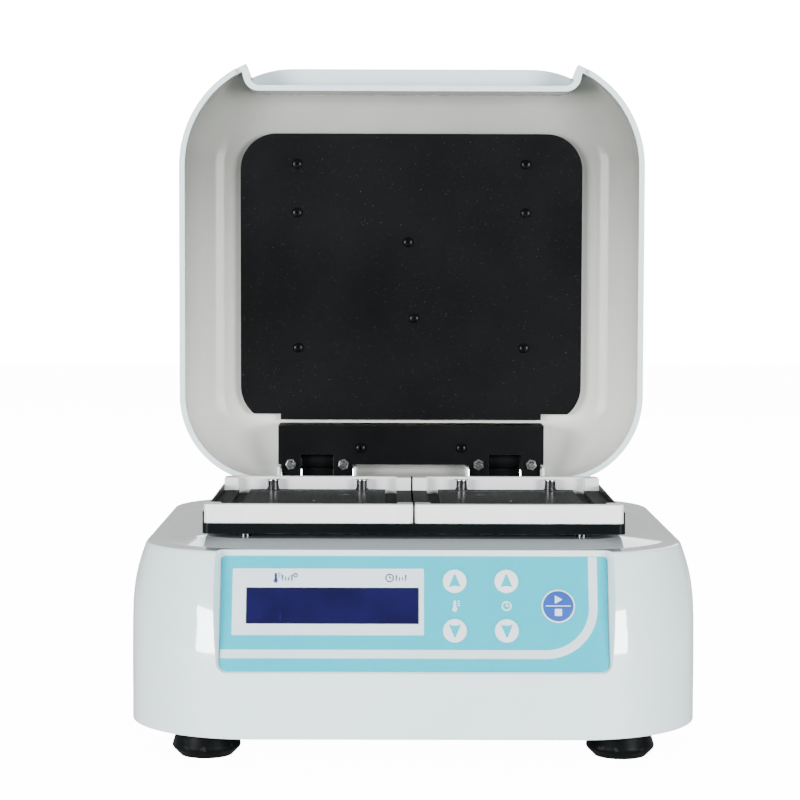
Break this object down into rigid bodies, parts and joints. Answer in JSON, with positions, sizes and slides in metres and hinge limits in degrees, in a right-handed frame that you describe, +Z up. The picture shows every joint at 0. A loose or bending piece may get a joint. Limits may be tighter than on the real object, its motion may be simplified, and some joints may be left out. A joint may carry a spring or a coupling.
{
  "type": "dry block heater",
  "caption": "Bench-top dry heater with two side-by-side microplate positions, a sloping key panel and a deep rear-hinged lid.",
  "frame": {"origin": "on the bench at the centre of the whole unit's footprint, with the lid open", "axes": "+X to the user's right, +Y to the back, +Z up"},
  "size_m": [0.2786, 0.2769, 0.3513],
  "materials": {
    "white_shell": "glossy moulded",
    "panel_teal": "printed film",
    "window_clear": "clear",
    "lcd_blue": "glossy",
    "key_white": "embossed film",
    "key_blue": "embossed film",
    "rail_white": "satin",
    "block_dark": "anodised",
    "pan_black": "satin powder coat",
    "black_steel": "matt powder coat",
    "chrome_pin": "polished",
    "zinc_steel": "zinc plated",
    "black_screw": "blackened",
    "foot_rubber": "moulded",
    "cover_grey": "painted",
    "board_green": "solder mask",
    "black_plastic": "fine texture",
    "coil_tape": "tape",
    "core_steel": "laminated",
    "mat_silicone": "silicone",
    "foam_grey": "foam",
    "brass_prong": "plated",
    "fuse_glass": "clear"
  },
  "bodies": {
    "base": {"board_standoffs": "zinc_steel", "bottom_cover": "cover_grey", "carrier_pan": "pan_black", "control_board": "board_green", "cover_screws": "zinc_steel", "display_window": "window_clear", "foot_front_left": "foot_rubber", "foot_front_right": "foot_rubber", "foot_rear_left": "foot_rubber", "foot_rear_right": "foot_rubber", "foot_screws": "zinc_steel", "front_overlay": "panel_teal", "front_rail_left": "rail_white", "front_rail_right": "rail_white", "heater_mat_left": "mat_silicone", "heater_mat_right": "mat_silicone", "heating_block_left": "block_dark", "heating_block_right": "block_dark", "hinge_base_left": "black_steel", "hinge_base_right": "black_steel", "hinge_base_screws": "black_screw", "inlet_prongs": "brass_prong", "lcd_module": "lcd_blue", "locating_pins": "chrome_pin", "pan_standoffs": "zinc_steel", "power_board": "board_green", "power_inlet": "black_plastic", "power_posts": "zinc_steel", "rear_rail_left": "rail_white", "rear_rail_right": "rail_white", "switch_housing": "black_plastic", "tact_switches": "black_plastic", "temperature_probes": "zinc_steel", "transformer_coil": "coil_tape", "transformer_core": "core_steel", "upper_casing": "white_shell"},
    "lid": {"bracket_screws": "black_screw", "friction_washers": "zinc_steel", "hinge_bolts": "zinc_steel", "hinge_leaf_left": "black_steel", "hinge_leaf_right": "black_steel", "hinge_nuts": "zinc_steel", "hinge_pin_left": "zinc_steel", "hinge_pin_right": "zinc_steel", "lid_bracket": "black_steel", "lid_insulation": "foam_grey", "lid_liner": "black_steel", "lid_shell": "white_shell", "liner_screws": "black_screw"},
    "key_start_stop": {"key_start_stop": "key_blue"},
    "key_temp_down": {"key_temp_down": "key_white"},
    "key_temp_up": {"key_temp_up": "key_white"},
    "key_time_down": {"key_time_down": "key_white"},
    "key_time_up": {"key_time_up": "key_white"},
    "rocker": {"power_rocker": "black_plastic"},
    "drawer": {"fuse_drawer": "black_plastic", "fuses": "fuse_glass"}
  },
  "joints": [
    {"name": "lid_hinge", "type": "hinge", "parent": "base", "child": "lid", "pos_m": [0, 0.115, 0.125], "axis": [1, 0, 0], "range_deg": [0, 90]},
    {"name": "press_start_stop", "type": "slide", "parent": "base", "child": "key_start_stop", "axis": [0, 0.9426, -0.3338], "range_m": [0, 0.0005], "stiffness_N_per_m": 3000},
    {"name": "press_temp_down", "type": "slide", "parent": "base", "child": "key_temp_down", "axis": [0, 0.9426, -0.3338], "range_m": [0, 0.0005], "stiffness_N_per_m": 3000},
    {"name": "press_temp_up", "type": "slide", "parent": "base", "child": "key_temp_up", "axis": [0, 0.9426, -0.3338], "range_m": [0, 0.0005], "stiffness_N_per_m": 3000},
    {"name": "press_time_down", "type": "slide", "parent": "base", "child": "key_time_down", "axis": [0, 0.9426, -0.3338], "range_m": [0, 0.0005], "stiffness_N_per_m": 3000},
    {"name": "press_time_up", "type": "slide", "parent": "base", "child": "key_time_up", "axis": [0, 0.9426, -0.3338], "range_m": [0, 0.0005], "stiffness_N_per_m": 3000},
    {"name": "rocker_tilt", "type": "hinge", "parent": "base", "child": "rocker", "pos_m": [-0.024, 0.135, 0.042], "axis": [1, 0, 0], "range_deg": [-18, 0]},
    {"name": "fuse_drawer_slide", "type": "slide", "parent": "base", "child": "drawer", "axis": [0, 1, 0], "range_m": [0, 0.016]}
  ]
}
